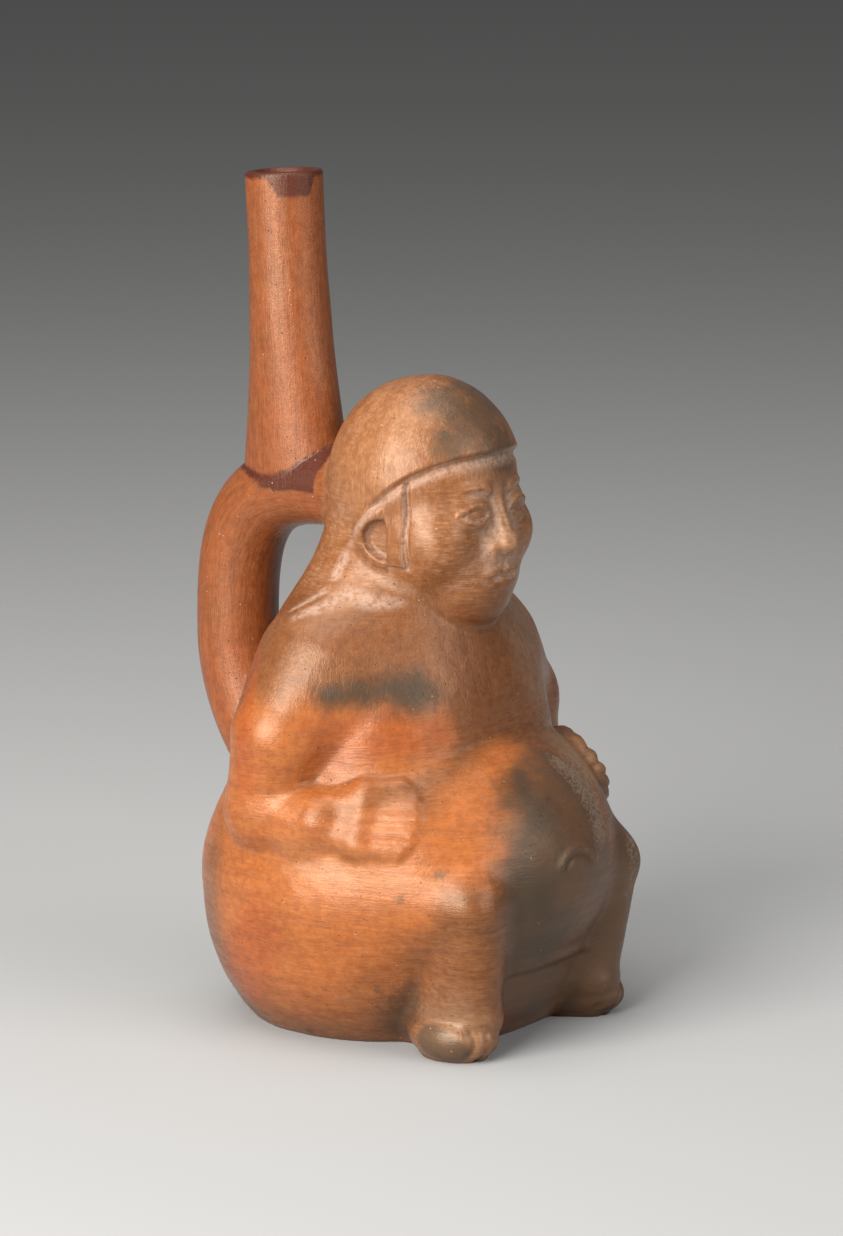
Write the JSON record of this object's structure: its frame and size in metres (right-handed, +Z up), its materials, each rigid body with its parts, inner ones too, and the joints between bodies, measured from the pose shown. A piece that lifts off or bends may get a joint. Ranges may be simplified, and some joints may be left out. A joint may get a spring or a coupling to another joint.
{
  "type": "handle spout vessel",
  "caption": "Hollow ceramic bottle in the form of a seated figure with a great round belly, with a looped tube handle behind it and a tall straight spout on the loop.",
  "frame": {"origin": "middle of the flat underside, on the plane that the vessel stands on", "axes": "+Z up, -Y the way the figure faces, +X towards the figure's left hand, so the handle and spout are on the +Y side"},
  "size_m": [0.1231, 0.1371, 0.2413],
  "materials": {
    "clay": "burnished"
  },
  "bodies": {
    "root": {"vessel": "clay"}
  },
  "joints": []
}
